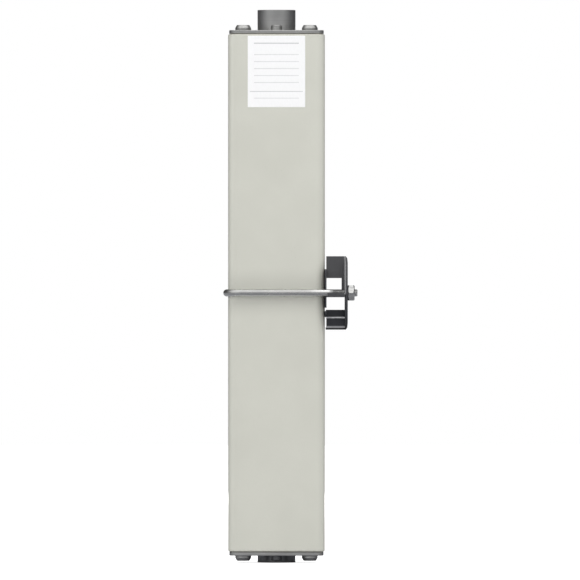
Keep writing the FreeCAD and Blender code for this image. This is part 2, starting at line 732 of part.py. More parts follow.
def make_switch_holder():
    body = new_body("switch_holder")
    outer_plate = new_sketch(body, "outer_plate", "YZ_Plane", lift=holder_plate_back)
    mirrored_outline(outer_plate, [
        ("holder_end_half_width", above_rod("-holder_half_height")),
        (holder_half_width, above_rod("-holder_full_half_height")),
        (holder_half_width, above_rod("holder_full_half_height")),
        ("holder_end_half_width", above_rod("holder_half_height")),
    ])
    pad(body, outer_plate, "holder_plate_thickness")
    plate_box = body.Tip.Shape.BoundBox

    foot = new_sketch(body, "foot", "YZ_Plane", lift=body_face)
    low_foot = above_rod("-holder_foot_half_height - foot_end_slant")
    high_foot = above_rod("holder_foot_half_height")
    rectangle(foot, f"-{holder_half_width}", holder_half_width, low_foot, high_foot)
    pad(body, foot, "holder_foot_thickness")

    def is_side_corner(edge):
        return runs_along(edge, Vector(1, 0, 0)) and abs(edge.CenterOfMass.y) > plate_box.YMax - 0.01

    def is_plate_edge(edge):
        middle = edge.CenterOfMass
        at_side = abs(middle.y) > plate_box.YMax - 0.01
        at_end = abs(middle.z - plate_box.Center.z) > plate_box.ZLength / 2 - 0.01
        on_back = abs(middle.x - plate_box.XMin) < 0.01
        on_face = abs(middle.x - plate_box.XMax) < 0.01
        inner_upright = runs_along(edge, Vector(0, 0, 1)) and at_side and on_back
        outer_end = runs_along(edge, Vector(0, 1, 0)) and at_end and on_face
        return inner_upright or outer_end

    dress(body, "PartDesign::Fillet", "corners", "Radius", "holder_corner_radius", is_side_corner)
    dress(body, "PartDesign::Chamfer", "plate_edges", "Size", "holder_edge_chamfer", is_plate_edge)

    foot_relief = new_sketch(body, "foot_relief", "XZ_Plane")
    outline(foot_relief, [
        (body_face, above_rod("-low_block_start + foot_slot_height")),
        (body_face, above_rod("-low_block_start - foot_slot_slant")),
        (holder_back, above_rod("-low_block_start")),
        (holder_back, above_rod("-low_block_start + foot_slot_height")),
    ])
    outline(foot_relief, [
        (body_face, above_rod("-holder_foot_half_height")),
        (body_face, low_foot),
        (holder_back, low_foot),
    ])
    pocket(body, foot_relief, f"2 * {holder_half_width}", both_ways=True)

    crossbar = new_sketch(body, "crossbar", "YZ_Plane", lift=holder_back)
    low_bar = above_rod("-crossbar_thickness")
    rectangle(crossbar, f"-{holder_half_width}", holder_half_width, low_bar, rod_height)
    pad(body, crossbar, "holder_block_depth")

    top_block = new_sketch(body, "top_block", "YZ_Plane", lift=holder_back)
    mirrored_outline(top_block, [
        ("top_block_half_width", above_rod("top_block_start")),
        ("top_block_end_half_width", above_rod("holder_half_height")),
    ])
    pad(body, top_block, "holder_block_depth")

    low_block = new_sketch(body, "low_block", "YZ_Plane", lift=holder_back)
    mirrored_outline(low_block, [
        ("low_block_half_width", above_rod("-low_block_start")),
        ("low_block_half_width", above_rod("-first_ledge")),
        ("low_block_half_width + ledge_step", above_rod("-first_ledge - ledge_step")),
        ("low_block_half_width + ledge_step", above_rod("-second_ledge")),
        ("low_block_half_width + 2 * ledge_step", above_rod("-second_ledge - ledge_step")),
        ("low_block_half_width + 2 * ledge_step", above_rod("-holder_half_height")),
    ])
    pad(body, low_block, "holder_block_depth")

    low_flange = new_sketch(body, "low_flange", "YZ_Plane", lift=holder_back)
    flange_half_width = "(low_block_half_width + 2 * ledge_step)"
    low_end = above_rod("-holder_half_height")
    high_end = above_rod("-second_ledge - ledge_step")
    rectangle(low_flange, f"-{flange_half_width}", flange_half_width, low_end, high_end)
    pad(body, low_flange, "low_flange_step", backwards=True)

    rib = new_sketch(body, "rib", "YZ_Plane", lift=f"{holder_plate_back} - rib_thickness")
    high_rib = above_rod("top_block_start")
    rectangle(rib, "-top_block_half_width", "top_block_half_width", rod_height, high_rib)
    pad(body, rib, "rib_thickness")

    rod_holes = new_sketch(body, "rod_holes", "YZ_Plane", lift=body_face)
    for side_sign in ("-", ""):
        diameter = "rod_diameter + 2 * holder_rod_clearance"
        circle(rod_holes, diameter, f"{side_sign}{rod_line}", rod_height)
    pocket(body, rod_holes, f"{holder_face} - {body_face}", backwards=True)

    striker_hole = new_sketch(body, "striker_hole", "YZ_Plane", lift=body_face)
    circle(striker_hole, "striker_diameter + 2 * striker_foot_clearance", "0", striker_height)
    pocket(body, striker_hole, "holder_foot_thickness", backwards=True)

    cores = new_sketch(body, "cores", "YZ_Plane", lift=holder_face)
    core_spans = [
        (above_rod("top_block_start + core_wall"), above_rod("holder_half_height - core_wall")),
        (above_rod("-holder_half_height + core_wall"), above_rod("-low_block_start - core_wall")),
    ]
    for column in range(int(size("core_count"))):
        middle = f"({column} - (core_count - 1) / 2) * (core_width + core_wall)"
        for low_core, high_core in core_spans:
            left = f"{middle} - core_width / 2"
            right = f"{middle} + core_width / 2"
            rectangle(cores, left, right, low_core, high_core)
    pocket(body, cores, "holder_plate_thickness + holder_block_depth - core_wall")

    striker_window = new_sketch(body, "striker_window", "YZ_Plane", lift=holder_face)
    rectangle(
        striker_window, "-striker_window_half_width", "striker_window_half_width",
        above_rod("-low_block_start + striker_window_margin"),
        above_rod("-crossbar_thickness - striker_window_margin"),
    )
    pocket(body, striker_window, "holder_plate_thickness")

    switch_holes = new_sketch(body, "switch_holes", "YZ_Plane", lift=holder_face)
    for side_sign in ("-", ""):
        circle(switch_holes, "switch_hole_diameter", f"{side_sign}switch_hole_spacing / 2", striker_height)
    pocket(body, switch_holes, "holder_plate_thickness")


def make_rating_label():
    body = new_body("rating_label")
    face = new_sketch(body, "face", "XZ_Plane", lift=body_face)
    label_top = f"({body_top} - label_top_margin)"
    rectangle(face, "-label_width / 2", "label_width / 2", f"{label_top} - label_height", label_top)
    pad(body, face, "label_thickness")


make_ceramic_body()
for end in ("bottom", "top"):
    make_gasket(end)
    make_end_plate(end)
    make_contact(end)
    make_cover_screws(end)
    make_fill_plug(end)
    make_element_plate(end)
for number, place in enumerate(element_places, start=1):
    make_fuse_element(number, place)
make_sand_fill()
make_indicator_sleeve()
make_indicator_cap()
make_striker_pin()
make_striker_spring()
make_restraining_wire()
make_hoop_rod()
make_clamp_nut("front_clamp_nut", "-")
make_clamp_nut("rear_clamp_nut", "")
make_switch_holder()
make_rating_label()
doc.recompute()

failed = [item.Name for item in doc.Objects if {"Invalid", "Error"} & set(item.State)]
if failed:
    raise RuntimeError(f"failed features: {failed}")
bodies = [item for item in doc.Objects if item.isDerivedFrom("PartDesign::Body")]
for body in bodies:
    if body.Shape.isNull() or not body.Shape.isValid() or not body.Shape.Solids:
        raise RuntimeError(f"{body.Label} has no valid solid")
os.makedirs("parts", exist_ok=True)
for body in bodies:
    body.Shape.exportStep(f"parts/{body.Label}.step")
    solids = len(body.Shape.Solids)
    print(f"{body.Label}: {solids} solid(s), {body.Shape.Volume:.1f} mm3")
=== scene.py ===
import math

import bmesh
import bpy
import numpy as np
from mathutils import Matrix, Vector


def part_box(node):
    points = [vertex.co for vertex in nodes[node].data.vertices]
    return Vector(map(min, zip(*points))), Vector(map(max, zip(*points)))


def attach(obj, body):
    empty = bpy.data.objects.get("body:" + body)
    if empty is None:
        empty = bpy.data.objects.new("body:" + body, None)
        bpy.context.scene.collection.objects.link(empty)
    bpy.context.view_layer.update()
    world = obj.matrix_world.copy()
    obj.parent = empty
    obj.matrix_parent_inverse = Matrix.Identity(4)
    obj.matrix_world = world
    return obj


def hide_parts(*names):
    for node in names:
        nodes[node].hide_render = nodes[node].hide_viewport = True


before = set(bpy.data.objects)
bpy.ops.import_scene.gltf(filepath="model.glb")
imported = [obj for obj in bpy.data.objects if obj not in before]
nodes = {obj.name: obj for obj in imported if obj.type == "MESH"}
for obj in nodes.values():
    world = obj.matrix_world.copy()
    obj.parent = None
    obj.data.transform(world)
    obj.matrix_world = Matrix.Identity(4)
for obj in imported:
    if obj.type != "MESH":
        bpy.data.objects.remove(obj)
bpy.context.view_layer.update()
mm = 0.001

meshSettings = {
    "mergeDistance": 1e-6,
    "flatAngle": 1.0,
    "sharpAngle": 32.0,
    "clampedSegments": 2,
    "freeSegments": 4,
}


# shapes

def ringTurns(count):
    return np.arange(count) * 2 * np.pi / count


def smoothRise(values, low, high):
    # 0 below low, 1 above high, and an S curve between them
    share = np.clip((values - low) / (high - low), 0, 1)
    return share * share * (3 - 2 * share)


def hexagonRadius(turns, acrossFlats):
    # distance from the middle to a hexagon's side: half the flats over the cosine of the turn past a flat
    pastFlat = np.mod(turns, np.pi / 3) - np.pi / 6
    return acrossFlats / 2 / np.cos(pastFlat)


def threadWave(turnsAlong):
    # 1 at the root of a thread and 0 at its crest: a zigzag with both points cut flat
    zigzag = np.abs(2 * np.mod(turnsAlong, 1.0) - 1)
    return np.clip(1.5 * zigzag - 0.25, 0, 1)


def ringsAlong(centres, sideways, upward, radii):
    # each ring's points: its centre + radius * (cos(turn) * sideways + sin(turn) * upward)
    turns = ringTurns(radii.shape[1])
    across = radii * np.cos(turns)
    up = radii * np.sin(turns)
    return centres[:, None, :] + across[..., None] * sideways[:, None, :] + up[..., None] * upward[:, None, :]


def straightRings(start, axis, sideways, heights, radii):
    # rings round a straight axis, at these distances along it from the start
    axis = np.asarray(axis, float)
    sideways = np.asarray(sideways, float)
    upward = np.cross(axis, sideways)
    centres = np.asarray(start, float) + heights[:, None] * axis
    count = len(heights)
    return ringsAlong(centres, np.tile(sideways, (count, 1)), np.tile(upward, (count, 1)), radii)


def gridMesh(rings, joined=False):
    # quads between neighbouring rings, and either a fan of triangles on each end or the last ring joined to the first
    rows, columns, _ = rings.shape
    points = rings.reshape(-1, 3)
    ringStarts = np.arange(rows if joined else rows - 1) * columns
    nextStarts = (ringStarts + columns) % (rows * columns)
    here = np.arange(columns)
    beside = (here + 1) % columns
    quads = np.stack([
        ringStarts[:, None] + here,
        ringStarts[:, None] + beside,
        nextStarts[:, None] + beside,
        nextStarts[:, None] + here,
    ], axis=-1).reshape(-1, 4)
    faces = quads.tolist()
    if not joined:
        middles = np.array([rings[0].mean(0), rings[-1].mean(0)])
        points = np.concatenate([points, middles])
        firstMiddle, lastMiddle = rows * columns, rows * columns + 1
        lastRing = (rows - 1) * columns
        faces += np.stack([beside, here, np.full(columns, firstMiddle)], axis=-1).tolist()
        faces += np.stack([lastRing + here, lastRing + beside, np.full(columns, lastMiddle)], axis=-1).tolist()
    return points, faces


def addPiece(name, parts, body, stands, sharpAngle=meshSettings["sharpAngle"]):
    # one object from several closed shells, with faces outwards and edges sharp where they turn by more than an angle
    points, faces, offset = [], [], 0
    for partPoints, partFaces in parts:
        points.append(partPoints)
        faces += [[corner + offset for corner in face] for face in partFaces]
        offset += len(partPoints)
    mesh = bpy.data.meshes.new(name)
    mesh.from_pydata(np.concatenate(points).tolist(), [], faces)
    turnOutwards(mesh)
    mesh.shade_smooth()
    mesh.set_sharp_from_angle(angle=math.radians(sharpAngle))
    piece = bpy.data.objects.new(name, mesh)
    bpy.context.scene.collection.objects.link(piece)
    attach(piece, body)
    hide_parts(stands)
    return piece


def turnOutwards(mesh):
    work = bmesh.new()
    work.from_mesh(mesh)
    bmesh.ops.recalc_face_normals(work, faces=work.faces)
    work.to_mesh(mesh)
    work.free()


def prism(outline, low, high, along):
    # the corners of an outline, each at the low and the high place along X (0) or Y (1)
    ends = [(place, *corner) for place in (low, high) for corner in outline]
    return ends if along == 0 else [(first, place, second) for place, first, second in ends]


def cutPrisms(mesh, prisms):
    # the mesh less some solids, one after another, each the hull of its corners
    for corners in prisms:
        work = bmesh.new()
        bmesh.ops.convex_hull(work, input=[work.verts.new(corner) for corner in corners])
        bmesh.ops.recalc_face_normals(work, faces=work.faces)
        cutterMesh = bpy.data.meshes.new("cutter")
        work.to_mesh(cutterMesh)
        work.free()
        cutter = bpy.data.objects.new("cutter", cutterMesh)
        blank = bpy.data.objects.new("blank", mesh)
        for helper in (cutter, blank):
            bpy.context.scene.collection.objects.link(helper)
        cut = blank.modifiers.new("cut", "BOOLEAN")
        cut.operation = "DIFFERENCE"
        cut.solver = "EXACT"
        cut.object = cutter
        seen = blank.evaluated_get(bpy.context.evaluated_depsgraph_get())
        mesh = bpy.data.meshes.new_from_object(seen)
        for helper in (cutter, blank):
            bpy.data.objects.remove(helper)
        bpy.data.meshes.remove(cutterMesh)
    return mesh


def addRoundedCopy(name, node, body, edgeRadius, cuts=(), clamped=True):
    # a merged copy of a CAD node, less the cuts, with every edge rounded as a moulding or a stamped plate has it
    sharpAngle = math.radians(meshSettings["sharpAngle"])
    mesh = bpy.data.meshes.new(name)
    work = bmesh.new()
    work.from_mesh(nodes[node].data)
    bmesh.ops.remove_doubles(work, verts=work.verts, dist=meshSettings["mergeDistance"])
    flatAngle = math.radians(meshSettings["flatAngle"])
    bmesh.ops.dissolve_limit(work, angle_limit=flatAngle, verts=work.verts, edges=work.edges)
    bmesh.ops.recalc_face_normals(work, faces=work.faces)
    work.to_mesh(mesh)
    work.free()
    if cuts:
        mesh = cutPrisms(mesh, cuts)
    for layer in ("custom_normal", "sharp_face", "sharp_edge"):
        if layer in mesh.attributes:
            mesh.attributes.remove(mesh.attributes[layer])
    mesh.shade_smooth()
    mesh.set_sharp_from_angle(angle=sharpAngle)
    piece = bpy.data.objects.new(name, mesh)
    bpy.context.scene.collection.objects.link(piece)
    rounding = piece.modifiers.new("roundedEdges", "BEVEL")
    rounding.width = edgeRadius
    rounding.segments = meshSettings["clampedSegments" if clamped else "freeSegments"]
    rounding.use_clamp_overlap = clamped
    rounding.limit_method = "ANGLE"
    rounding.angle_limit = sharpAngle
    rounding.harden_normals = True
    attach(piece, body)
    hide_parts(node)
    return piece


# finishes

class Flow:
    # a node's output that can stand in a sum: each operator adds its Math node
    def __init__(self, finish, socket):
        self.finish = finish
        self.socket = socket

    def sum(self, operation, first, second):
        return self.finish.node("ShaderNodeMath", {"operation": operation}, {0: first, 1: second})

    def __add__(self, other):
        return self.sum("ADD", self, other)

    def __radd__(self, other):
        return self.sum("ADD", other, self)

    def __sub__(self, other):
        return self.sum("SUBTRACT", self, other)

    def __rsub__(self, other):
        return self.sum("SUBTRACT", other, self)

    def __mul__(self, other):
        return self.sum("MULTIPLY", self, other)

    def __pow__(self, other):
        return self.sum("POWER", self, other)

    def __abs__(self):
        return self.sum("ABSOLUTE", self, 0.0)


class NodeSet:
    # a node tree with one method that adds any node, and short names for the patterns used below
    def __init__(self, tree):
        self.tree = tree
        self.tree.nodes.clear()

    def node(self, kind, settings=None, inputs=None, output=0):
        made = self.tree.nodes.new(kind)
        for name, value in (settings or {}).items():
            setattr(made, name, value)
        for name, value in (inputs or {}).items():
            if isinstance(value, Flow):
                self.tree.links.new(value.socket, made.inputs[name])
            else:
                made.inputs[name].default_value = value
        return Flow(self, made.outputs[output]) if len(made.outputs) else None

    def place(self):
        return self.node("ShaderNodeTexCoord", output="Object")

    def axes(self, place):
        split = self.node("ShaderNodeSeparateXYZ", inputs={0: place})
        outputs = split.socket.node.outputs
        return Flow(self, outputs[0]), Flow(self, outputs[1]), Flow(self, outputs[2])

    def stretched(self, place, scale):
        return self.node("ShaderNodeMapping", inputs={"Vector": place, "Scale": scale})

    def noise(self, place, scale, detail=3.0, rough=0.55):
        values = {"Vector": place, "Scale": scale, "Detail": detail, "Roughness": rough}
        return self.node("ShaderNodeTexNoise", inputs=values)

    def cells(self, place, scale):
        return self.node("ShaderNodeTexVoronoi", inputs={"Vector": place, "Scale": scale})

    def between(self, value, low, high, toLow=0.0, toHigh=1.0):
        # 0 to 1 as the value goes from low to high, with soft ends
        values = {"Value": value, "From Min": low, "From Max": high, "To Min": toLow, "To Max": toHigh}
        return self.node("ShaderNodeMapRange", {"interpolation_type": "SMOOTHSTEP"}, values)

    def tint(self, share, first, second):
        return self.node("ShaderNodeMix", {"data_type": "RGBA"}, {0: share, 6: first, 7: second}, output=2)

    def bump(self, height, strength, distance):
        return self.node("ShaderNodeBump", inputs={"Height": height, "Strength": strength, "Distance": distance})


def colour(red, green, blue):
    # a colour as read off a screen, 0 to 255, in the linear values that a shader takes
    parts = np.array([red, green, blue]) / 255
    linear = np.where(parts <= 0.04045, parts / 12.92, ((parts + 0.055) / 1.055) ** 2.4)
    return (*linear.tolist(), 1.0)


# most of a noise lies between these two
noiseRange = (0.3, 0.7)


def newFinish(name, build):
    # a material whose surface shader gets the sockets that build() returns for its node set
    material = bpy.data.materials.new(name)
    material.use_nodes = True
    tree = NodeSet(material.node_tree)
    shader = tree.node("ShaderNodeBsdfPrincipled", inputs=build(tree))
    tree.node("ShaderNodeOutputMaterial", inputs={"Surface": shader})
    return material


def ceramic(tree):
    # a matt glaze with faint clouds and a few specks, rubbed at both ends, with painted shade beside the rod
    look = ceramicLook
    place = tree.place()
    z = tree.axes(place)[2]
    cloud = tree.noise(place, look["cloudScale"], detail=2.0)
    grain = tree.noise(place, look["grainScale"], detail=4.0, rough=0.65)
    specks = tree.cells(place, look["speckScale"])
    dark = tree.between(specks, *look["speckEdge"]) * tree.between(cloud, *look["speckPlaces"]) * look["speckShare"]
    body = tree.tint(tree.between(cloud, *noiseRange), look["light"], look["shade"])
    body = tree.tint(tree.between(grain, *look["grainRange"]) * look["grainShare"], body, look["shade"])
    body = tree.tint(dark, body, look["speck"])
    low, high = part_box("ceramic_body")
    fromEnd = tree.node("ShaderNodeMath", {"operation": "MINIMUM"}, {0: z - low.z, 1: high.z - z})
    rubbed = tree.between(fromEnd, look["rubbedReach"], 0.0) * tree.between(grain, *look["rubbedRange"])
    body = tree.tint(rubbed * look["rubbedShare"], body, look["rubbed"])
    rodLow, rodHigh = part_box("hoop_rod")
    fromRod = z - (rodLow.z + rodHigh.z) / 2
    # painted shade beside the rod: below it from a little way down, above it from just over its middle line, fading
    # with distance
    below = tree.between(abs(fromRod), *look["rodShadeFade"]) * tree.between(fromRod, *look["rodShadeBelow"])
    above = tree.between(fromRod, *look["rodShadeFade"]) * tree.between(fromRod, *look["rodShadeAbove"])
    body = tree.tint((below + above) * look["overlayShare"], body, look["overlay"])
    pits = tree.between(specks, *look["pitEdge"])
    height = grain + cloud * look["cloudHeight"] - pits * look["pitDepth"]
    return {
        "Base Color": body,
        "Roughness": tree.between(grain, *look["roughRange"], look["roughLow"], look["roughHigh"]),
        "Specular IOR Level": 0.35,
        "Coat Weight": 1.0,
        "Coat Roughness": 0.3,
        "Normal": tree.bump(height, look["bump"], look["bumpHeight"]),
    }


ceramicLook = {
    "light": colour(212, 212, 201),
    "shade": colour(207, 207, 196),
    "cloudScale": 26.0,
    "cloudHeight": 1.5,
    "grainScale": 900.0,
    "grainRange": (0.3, 0.75),
    "grainShare": 0.35,
    "speck": colour(168, 163, 148),
    "speckScale": 420.0,
    "speckEdge": (0.16, 0.05),
    "speckPlaces": (0.45, 0.75),
    "speckShare": 0.22,
    "pitEdge": (0.2, 0.0),
    "pitDepth": 0.8,
    "rubbed": colour(190, 188, 178),
    "rubbedReach": 2.2 * mm,
    "rubbedRange": (0.42, 0.6),
    "rubbedShare": 0.5,
    # painted shade beside the rod, at these distances from the rod's middle line: the fade with distance, and where it
    # sets in on either side
    "overlay": colour(150, 150, 142),
    "rodShadeFade": (17.0 * mm, 2.5 * mm),
    "rodShadeBelow": (-3.0 * mm, -6.5 * mm),
    "rodShadeAbove": (0.0, 1.0 * mm),
    "overlayShare": 0.32,
    "roughRange": (0.2, 0.8),
    "roughLow": 0.42,
    "roughHigh": 0.58,
    "bump": 0.25,
    "bumpHeight": 0.06 * mm,
}


def metalLook(look):
    # one way of making metal: long scratches along one direction, soft stains and a fine grain
    def build(tree):
        place = tree.place()
        lines = tree.noise(tree.stretched(place, look["stretch"]), look["lineScale"], rough=0.6)
        stain = tree.noise(place, look["stainScale"])
        fine = tree.noise(place, look["fineScale"], detail=2.0)
        body = tree.tint(tree.between(stain, *look["stainRange"]), look["light"], look["shade"])
        body = tree.tint(tree.between(lines, *look["lineRange"]) * look["lineShare"], body, look["line"])
        rough = tree.between(lines, *noiseRange, look["roughLow"], look["roughHigh"])
        rough = rough + tree.between(stain, *look["stainRoughRange"]) * look["stainRough"]
        return {
            "Base Color": body,
            "Metallic": 1.0,
            "Roughness": rough,
            "Normal": tree.bump(lines + fine * look["fineShare"], look["bump"], look["bumpHeight"]),
        }
    return build


plateLook = {
    "light": colour(204, 204, 202),
    "shade": colour(190, 190, 188),
    "line": colour(164, 164, 163),
    "stretch": (0.06, 1.0, 1.0),
    "lineScale": 1500.0,
    "lineRange": (0.35, 0.65),
    "lineShare": 0.35,
    "stainScale": 70.0,
    "stainRange": (0.35, 0.7),
    "stainRoughRange": (0.4, 0.8),
    "stainRough": 0.06,
    "fineScale": 2600.0,
    "fineShare": 0.4,
    "roughLow": 0.34,
    "roughHigh": 0.46,
    "bump": 0.12,
    "bumpHeight": 0.03 * mm,
}

screwLook = {
    **plateLook,
    "light": colour(205, 205, 203),
    "shade": colour(190, 190, 188),
    "line": colour(160, 160, 158),
    "stretch": (1.0, 1.0, 1.0),
    "lineScale": 900.0,
    "roughLow": 0.26,
    "roughHigh": 0.38,
}

rodLook = {
    **plateLook,
    "light": colour(210, 210, 208),
    "shade": colour(197, 197, 196),
    "line": colour(165, 165, 166),
    "stretch": (0.12, 0.12, 1.0),
    "lineScale": 1300.0,
    "roughLow": 0.22,
    "roughHigh": 0.34,
    "lineShare": 0.15,
    # places along X between which each zone sets in, and heights above or below the rod's middle line
    # painted shade in blotches where the thread lies in the holder
    "holderShade": colour(70, 70, 70),
    "holderShadeScale": 420.0,
    "holderShadeRange": (0.3, 0.6),
    "holderShadeStart": (32.4 * mm, 34.8 * mm),
    "holderShadeEnd": (45.2 * mm, 44.0 * mm),
    "holderShadeLow": 0.42,
    "holderShadeHigh": 0.68,
    # painted highlight on the upper side towards the holder, painted reflection on the lower rim elsewhere and on the
    # lower side at the ends
    "rodHighlight": colour(252, 252, 251),
    "rodHighlightStart": (17.0 * mm, 31.0 * mm),
    "upperFade": 1.4 * mm,
    "rimFrom": 0.9 * mm,
    "rimTo": 1.7 * mm,
    "rimShare": 0.75,
    "endStart": (48.0 * mm, 49.0 * mm),
    "endShare": 0.5,
}

nutLook = {
    **plateLook,
    "light": colour(216, 216, 214),
    "shade": colour(200, 200, 199),
    "line": colour(160, 160, 161),
    "stretch": (0.2, 1.0, 1.0),
    "lineScale": 1100.0,
    "roughLow": 0.26,
    "roughHigh": 0.4,
}

copperLook = {
    **plateLook,
    "light": colour(214, 150, 118),
    "shade": colour(188, 120, 88),
    "line": colour(150, 92, 66),
    "stretch": (1.0, 0.08, 1.0),
    "stainRough": 0.15,
}

silverLook = {
    **plateLook,
    "light": colour(233, 231, 224),
    "shade": colour(214, 210, 202),
    "line": colour(180, 176, 168),
    "stretch": (1.0, 1.0, 0.05),
}

springLook = {
    **plateLook,
    "light": colour(178, 180, 184),
    "shade": colour(146, 148, 152),
    "line": colour(112, 114, 118),
    "stretch": (1.0, 1.0, 1.0),
    "roughLow": 0.2,
    "roughHigh": 0.32,
}

sleeveLook = {
    **plateLook,
    "light": colour(206, 184, 128),
    "shade": colour(178, 154, 98),
    "line": colour(140, 118, 72),
    "stretch": (0.1, 1.0, 1.0),
}

strikerLook = {
    **plateLook,
    "light": colour(208, 206, 200),
    "shade": colour(186, 184, 178),
    "line": colour(150, 148, 142),
    "stretch": (0.1, 1.0, 1.0),
    "roughLow": 0.24,
    "roughHigh": 0.36,
}


def threadedMetal(look):
    # the plain metal, with painted shade in blotches where the thread lies in the holder. It has a painted highlight on
    # its upper side towards the holder, and a painted reflection along its lower rim elsewhere and on its lower side at
    # the ends.
    def build(tree):
        sockets = metalLook(look)(tree)
        place = tree.place()
        x, _, z = tree.axes(place)
        low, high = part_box("hoop_rod")
        level = (low.z + high.z) / 2
        # painted highlight and reflection, chosen by height on the rod and by place along it
        upperSide = tree.between(z, level, level + look["upperFade"])
        lowerRim = tree.between(z, level - look["rimFrom"], level - look["rimTo"]) * look["rimShare"]
        nearHolder = tree.between(x, *look["rodHighlightStart"])
        rodHighlighted = nearHolder * upperSide + (1 - nearHolder) * lowerRim
        atEnd = tree.between(x, *look["endStart"])
        rodHighlighted = rodHighlighted * (1 - atEnd) + atEnd * (1 - upperSide) * look["endShare"]
        body = tree.tint(rodHighlighted, sockets["Base Color"], look["rodHighlight"])
        # painted shade in blotches where the thread lies in the holder
        holderShade = tree.noise(place, look["holderShadeScale"])
        share = tree.between(holderShade, *look["holderShadeRange"], look["holderShadeLow"], look["holderShadeHigh"])
        share = share * tree.between(x, *look["holderShadeStart"]) * tree.between(x, *look["holderShadeEnd"])
        sockets["Base Color"] = tree.tint(share, body, look["holderShade"])
        return sockets
    return build


def turnedMetal(look):
    # lathe work: fine rings round the Z axis on the end face and round the side, with soft stains
    def build(tree):
        place = tree.place()
        x, y, z = tree.axes(place)
        out = (x * x + y * y) ** 0.5
        alongProfile = tree.node("ShaderNodeCombineXYZ", inputs={0: out, 1: z})
        rings = tree.noise(alongProfile, look["ringScale"], rough=0.7)
        stain = tree.noise(place, look["stainScale"])
        fine = tree.noise(place, look["fineScale"], detail=2.0)
        body = tree.tint(tree.between(stain, *look["stainRange"]), look["light"], look["shade"])
        body = tree.tint(tree.between(rings, *look["lineRange"]) * look["lineShare"], body, look["line"])
        return {
            "Base Color": body,
            "Metallic": 1.0,
            "Roughness": tree.between(rings, *noiseRange, look["roughLow"], look["roughHigh"]),
            "Normal": tree.bump(rings + fine * look["fineShare"], look["bump"], look["bumpHeight"]),
        }
    return build


contactLook = {
    **plateLook,
    "light": colour(196, 196, 195),
    "shade": colour(182, 182, 181),
    "line": colour(158, 158, 158),
    "ringScale": 2600.0,
    "lineRange": (0.4, 0.7),
    "fineShare": 0.3,
    "roughLow": 0.32,
    "roughHigh": 0.44,
    "bump": 0.15,
    "bumpHeight": 0.04 * mm,
}

# the lower contact and its plug are darker with painted shade, as they lie under the fuse
shadedContactLook = {
    **contactLook,
    "light": colour(156, 157, 159),
    "shade": colour(144, 145, 147),
    "line": colour(124, 125, 127),
}

shadedPlateLook = {
    **plateLook,
    "light": colour(136, 137, 139),
    "shade": colour(126, 127, 129),
    "line": colour(106, 107, 109),
}


def fibre(tree):
    # pressed fibre with short strands along Y
    look = gasketLook
    strands = tree.noise(tree.stretched(tree.place(), look["stretch"]), look["strandScale"], detail=4.0, rough=0.7)
    return {
        "Base Color": tree.tint(tree.between(strands, *noiseRange), look["light"], look["shade"]),
        "Roughness": tree.between(strands, *noiseRange, look["roughLow"], look["roughHigh"]),
        "Normal": tree.bump(strands, look["bump"], look["bumpHeight"]),
    }


gasketLook = {
    "light": colour(150, 146, 136),
    "shade": colour(112, 108, 100),
    "stretch": (1.0, 0.25, 1.0),
    "strandScale": 1400.0,
    "roughLow": 0.75,
    "roughHigh": 0.95,
    "bump": 0.3,
    "bumpHeight": 0.08 * mm,
}


def paper(tree):
    # a satin label with plain rules printed on it
    look = labelLook
    place = tree.place()
    x, _, z = tree.axes(place)
    fibres = tree.noise(tree.stretched(place, look["stretch"]), look["fibreScale"], detail=4.0, rough=0.6)
    body = tree.tint(tree.between(fibres, *look["shadeRange"]), look["light"], look["shade"])
    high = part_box("rating_label")[1]
    ink = 0.0
    for below, halfWidth, thick, weight in look["rules"]:
        across = tree.between(abs(x), halfWidth + look["endFade"], halfWidth)
        band = tree.between(abs(z - (high.z - below)), thick / 2 + look["edgeFade"], thick / 2)
        ink = across * band * weight + ink
    grip = tree.between(fibres, *look["gripRange"], look["gripLow"], 1.0)
    return {
        "Base Color": tree.tint(ink * grip, body, look["ink"]),
        "Roughness": tree.between(fibres, *noiseRange, look["roughLow"], look["roughHigh"]),
        "Normal": tree.bump(fibres, look["bump"], look["bumpHeight"]),
    }


labelLook = {
    "light": colour(255, 255, 255),
    "shade": colour(252, 252, 252),
    "shadeRange": (0.35, 0.7),
    "stretch": (1.0, 1.0, 0.35),
    "fibreScale": 1200.0,
    "ink": colour(120, 120, 122),
    "gripRange": (0.2, 0.4),
    "gripLow": 0.85,
    "endFade": 0.2 * mm,
    "edgeFade": 0.08 * mm,
    "rules": [
        # distance below the label's top, half width, thickness, strength
        (4.7 * mm, 14.0 * mm, 0.5 * mm, 0.5),
        *[((11.9 + 4.4 * i) * mm, 14.0 * mm, 0.3 * mm, 0.35) for i in range(5)],
        (35.1 * mm, 16.6 * mm, 0.35 * mm, 0.45),
        (39.3 * mm, 14.0 * mm, 0.3 * mm, 0.35),
    ],
    "roughLow": 0.42,
    "roughHigh": 0.52,
    "bump": 0.1,
    "bumpHeight": 0.03 * mm,
}


